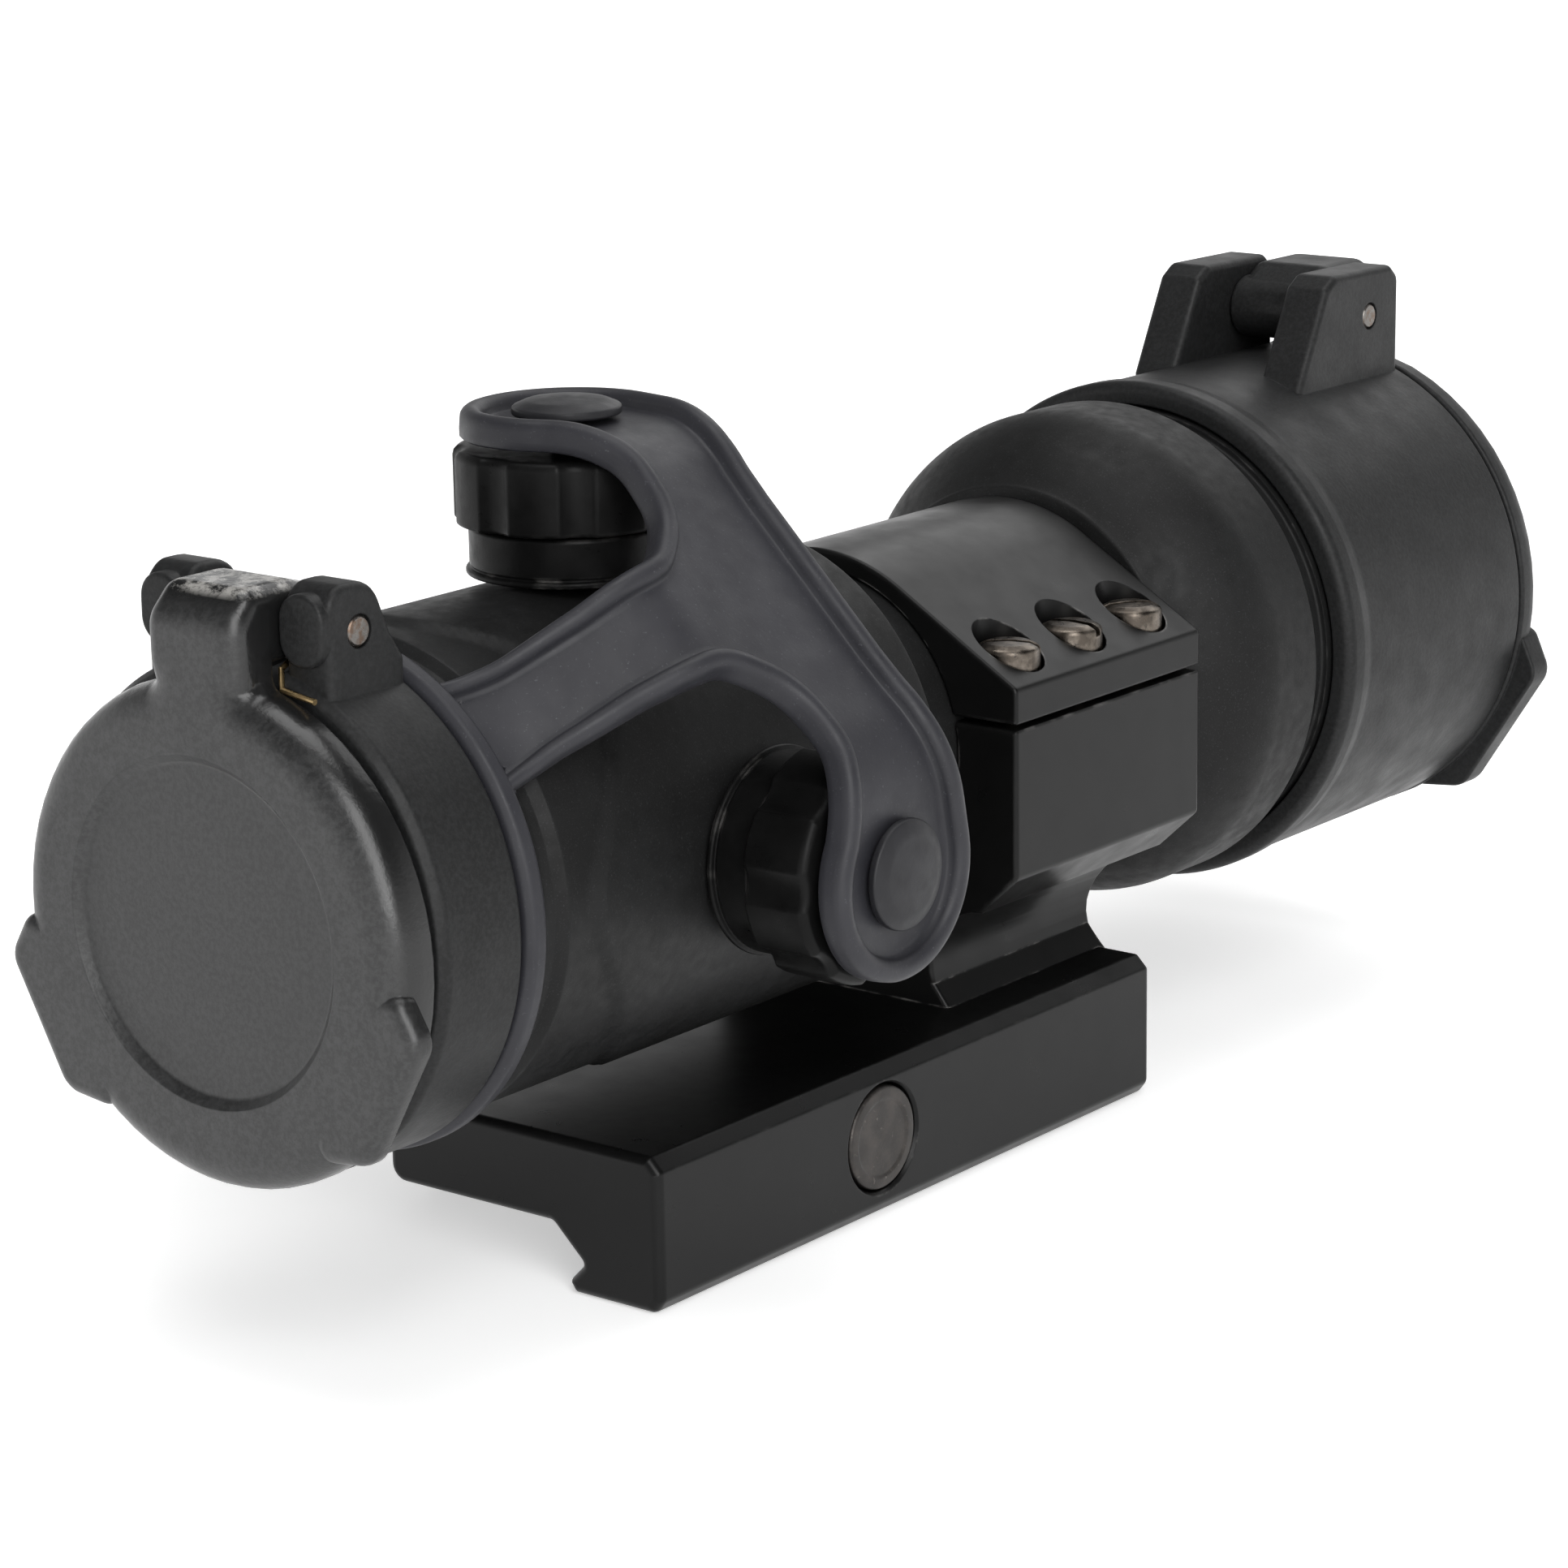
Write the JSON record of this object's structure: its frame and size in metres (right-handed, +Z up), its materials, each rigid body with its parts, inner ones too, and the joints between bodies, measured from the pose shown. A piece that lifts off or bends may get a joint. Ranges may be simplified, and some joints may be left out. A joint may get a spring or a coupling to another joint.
{
  "type": "reflex sight",
  "caption": "Reflex sight with flip-up lens covers, screw caps kept on a rubber strap, a rotary switch, and a ring mount that clamps to an accessory rail.",
  "frame": {"origin": "on the flat seat of the base that rests on the rail's top, midway along the base and over the rail's middle", "axes": "+Y forward along the tube from the eye to the target, +X to the user's right, towards the windage adjuster, +Z up, away from the rail"},
  "size_m": [0.074, 0.1663, 0.0727],
  "materials": {
    "anodised_body": "matt black anodised, fine speckle",
    "anodised_mount": "satin black anodised",
    "cover_plastic": "black moulded, fine leather grain, semi-gloss",
    "strap_rubber": "soft blue-grey black, speckled",
    "screw_steel": "bronzed steel, worn",
    "bolt_steel": "blackened steel",
    "spring_wire": "drawn wire, golden",
    "lens_glass": "coated glass",
    "battery_case": "plated cell can",
    "inner_black": "dead black, anti-reflection"
  },
  "bodies": {
    "mount": {"sight_housing": "anodised_body", "objective_bell": "anodised_body", "elevation_collar": "anodised_body", "windage_collar": "anodised_body", "switch_stem": "anodised_body", "mount_base": "anodised_mount", "ring_top": "anodised_mount", "rear_cover_sleeve": "cover_plastic", "front_cover_sleeve": "cover_plastic", "cap_strap": "strap_rubber", "ring_screw_1": "screw_steel", "ring_screw_2": "screw_steel", "ring_screw_3": "screw_steel", "ring_screw_4": "screw_steel", "ring_screw_5": "screw_steel", "ring_screw_6": "screw_steel", "rear_cover_pin": "screw_steel", "front_cover_pin": "screw_steel", "cross_bolt": "bolt_steel", "tube_spring": "spring_wire", "battery_spring": "spring_wire", "rear_cover_spring": "spring_wire", "front_cover_spring": "spring_wire", "ocular_window": "lens_glass", "objective_lens": "lens_glass", "battery": "battery_case", "ocular_retainer": "inner_black", "objective_retainer": "inner_black"},
    "rear_lid": {"rear_cover_lid": "cover_plastic"},
    "front_lid": {"front_cover_lid": "cover_plastic"},
    "elevation_stud": {"elevation_button": "strap_rubber"},
    "elevation_cover": {"elevation_cap": "anodised_body"},
    "windage_stud": {"windage_button": "strap_rubber"},
    "windage_cover": {"windage_cap": "anodised_body"},
    "elevation_adjuster": {"elevation_screw": "screw_steel"},
    "windage_adjuster": {"windage_screw": "screw_steel"},
    "elevation_pin": {"elevation_plunger": "screw_steel"},
    "windage_pin": {"windage_plunger": "screw_steel"},
    "gimbal": {"gimbal_ring": "inner_black"},
    "carrier": {"inner_tube": "inner_black", "reflector_lens": "lens_glass", "emitter_block": "inner_black"},
    "switch": {"brightness_switch": "anodised_body"},
    "battery_seal": {"battery_cap_seal": "strap_rubber"},
    "battery_cover": {"battery_cap": "anodised_body"},
    "jaw": {"clamp_jaw": "anodised_mount"},
    "knob": {"clamp_knob": "anodised_mount"}
  },
  "joints": [
    {"name": "rear_cover_hinge", "type": "hinge", "parent": "mount", "child": "rear_lid", "pos_m": [0, -0.058, 0.0543], "axis": [-1, 0, 0], "range_deg": [0, 160]},
    {"name": "front_cover_hinge", "type": "hinge", "parent": "mount", "child": "front_lid", "pos_m": [0, 0.089, 0.0593], "axis": [1, 0, 0], "range_deg": [0, 170]},
    {"name": "elevation_stud_lift", "type": "slide", "parent": "mount", "child": "elevation_stud", "axis": [0, 0, 1], "range_m": [0, 0.00225], "deforming": ["cap_strap"]},
    {"name": "elevation_cap_turn", "type": "hinge", "parent": "elevation_stud", "child": "elevation_cover", "pos_m": [0, -0.0221, 0.0561], "axis": [0, 0, 1], "range_deg": [0, 1080]},
    {"name": "windage_stud_lift", "type": "slide", "parent": "mount", "child": "windage_stud", "axis": [1, 0, 0], "range_m": [0, 0.00225], "deforming": ["cap_strap"]},
    {"name": "windage_cap_turn", "type": "hinge", "parent": "windage_stud", "child": "windage_cover", "pos_m": [0.0252, -0.0221, 0.0309], "axis": [1, 0, 0], "range_deg": [0, 1080]},
    {"name": "elevation_adjust", "type": "hinge", "parent": "mount", "child": "elevation_adjuster", "pos_m": [0, -0.0221, 0.0478], "axis": [0, 0, 1], "range_deg": [-360, 360]},
    {"name": "elevation_pin_slide", "type": "slide", "parent": "mount", "child": "elevation_pin", "axis": [0, 0, 1], "range_m": [-0.00126, 0.00126]},
    {"name": "carrier_elevation", "type": "hinge", "parent": "mount", "child": "gimbal", "pos_m": [0, 0.0498, 0.0309], "axis": [-1, 0, 0], "range_deg": [-1, 1]},
    {"name": "windage_adjust", "type": "hinge", "parent": "mount", "child": "windage_adjuster", "pos_m": [0.0169, -0.0221, 0.0309], "axis": [1, 0, 0], "range_deg": [-360, 360]},
    {"name": "windage_pin_slide", "type": "slide", "parent": "mount", "child": "windage_pin", "axis": [1, 0, 0], "range_m": [-0.00126, 0.00126]},
    {"name": "carrier_windage", "type": "hinge", "parent": "gimbal", "child": "carrier", "pos_m": [0, 0.0498, 0.0309], "axis": [0, 0, 1], "range_deg": [-1, 1], "deforming": ["tube_spring"]},
    {"name": "brightness_turn", "type": "hinge", "parent": "mount", "child": "switch", "pos_m": [-0.0249, -0.0221, 0.0309], "axis": [-1, 0, 0], "range_deg": [0, 300]},
    {"name": "battery_seal_slide", "type": "slide", "parent": "mount", "child": "battery_seal", "axis": [-1, 0, 0], "range_m": [0, 0.00225]},
    {"name": "battery_cap_turn", "type": "hinge", "parent": "battery_seal", "child": "battery_cover", "pos_m": [-0.0348, -0.0221, 0.0309], "axis": [-1, 0, 0], "range_deg": [0, 1080]},
    {"name": "clamp_jaw_slide", "type": "slide", "parent": "mount", "child": "jaw", "axis": [-1, 0, 0], "range_m": [0, 0.0024]},
    {"name": "clamp_knob_turn", "type": "hinge", "parent": "jaw", "child": "knob", "pos_m": [-0.0184, -0.0055, 0.0012], "axis": [-1, 0, 0], "range_deg": [0, 1080]}
  ],
  "couplings": [
    {"joint": "elevation_stud_lift", "follows": "elevation_cap_turn", "m_per_rad": 0.0001193},
    {"joint": "windage_stud_lift", "follows": "windage_cap_turn", "m_per_rad": 0.0001193},
    {"joint": "elevation_pin_slide", "follows": "carrier_elevation", "m_per_rad": 0.0719},
    {"joint": "elevation_adjust", "follows": "carrier_elevation", "ratio": 359.9},
    {"joint": "windage_pin_slide", "follows": "carrier_windage", "m_per_rad": 0.0719},
    {"joint": "windage_adjust", "follows": "carrier_windage", "ratio": 359.9},
    {"joint": "battery_seal_slide", "follows": "battery_cap_turn", "m_per_rad": 0.0001193},
    {"joint": "clamp_knob_turn", "follows": "clamp_jaw_slide", "rad_per_m": 7850}
  ]
}
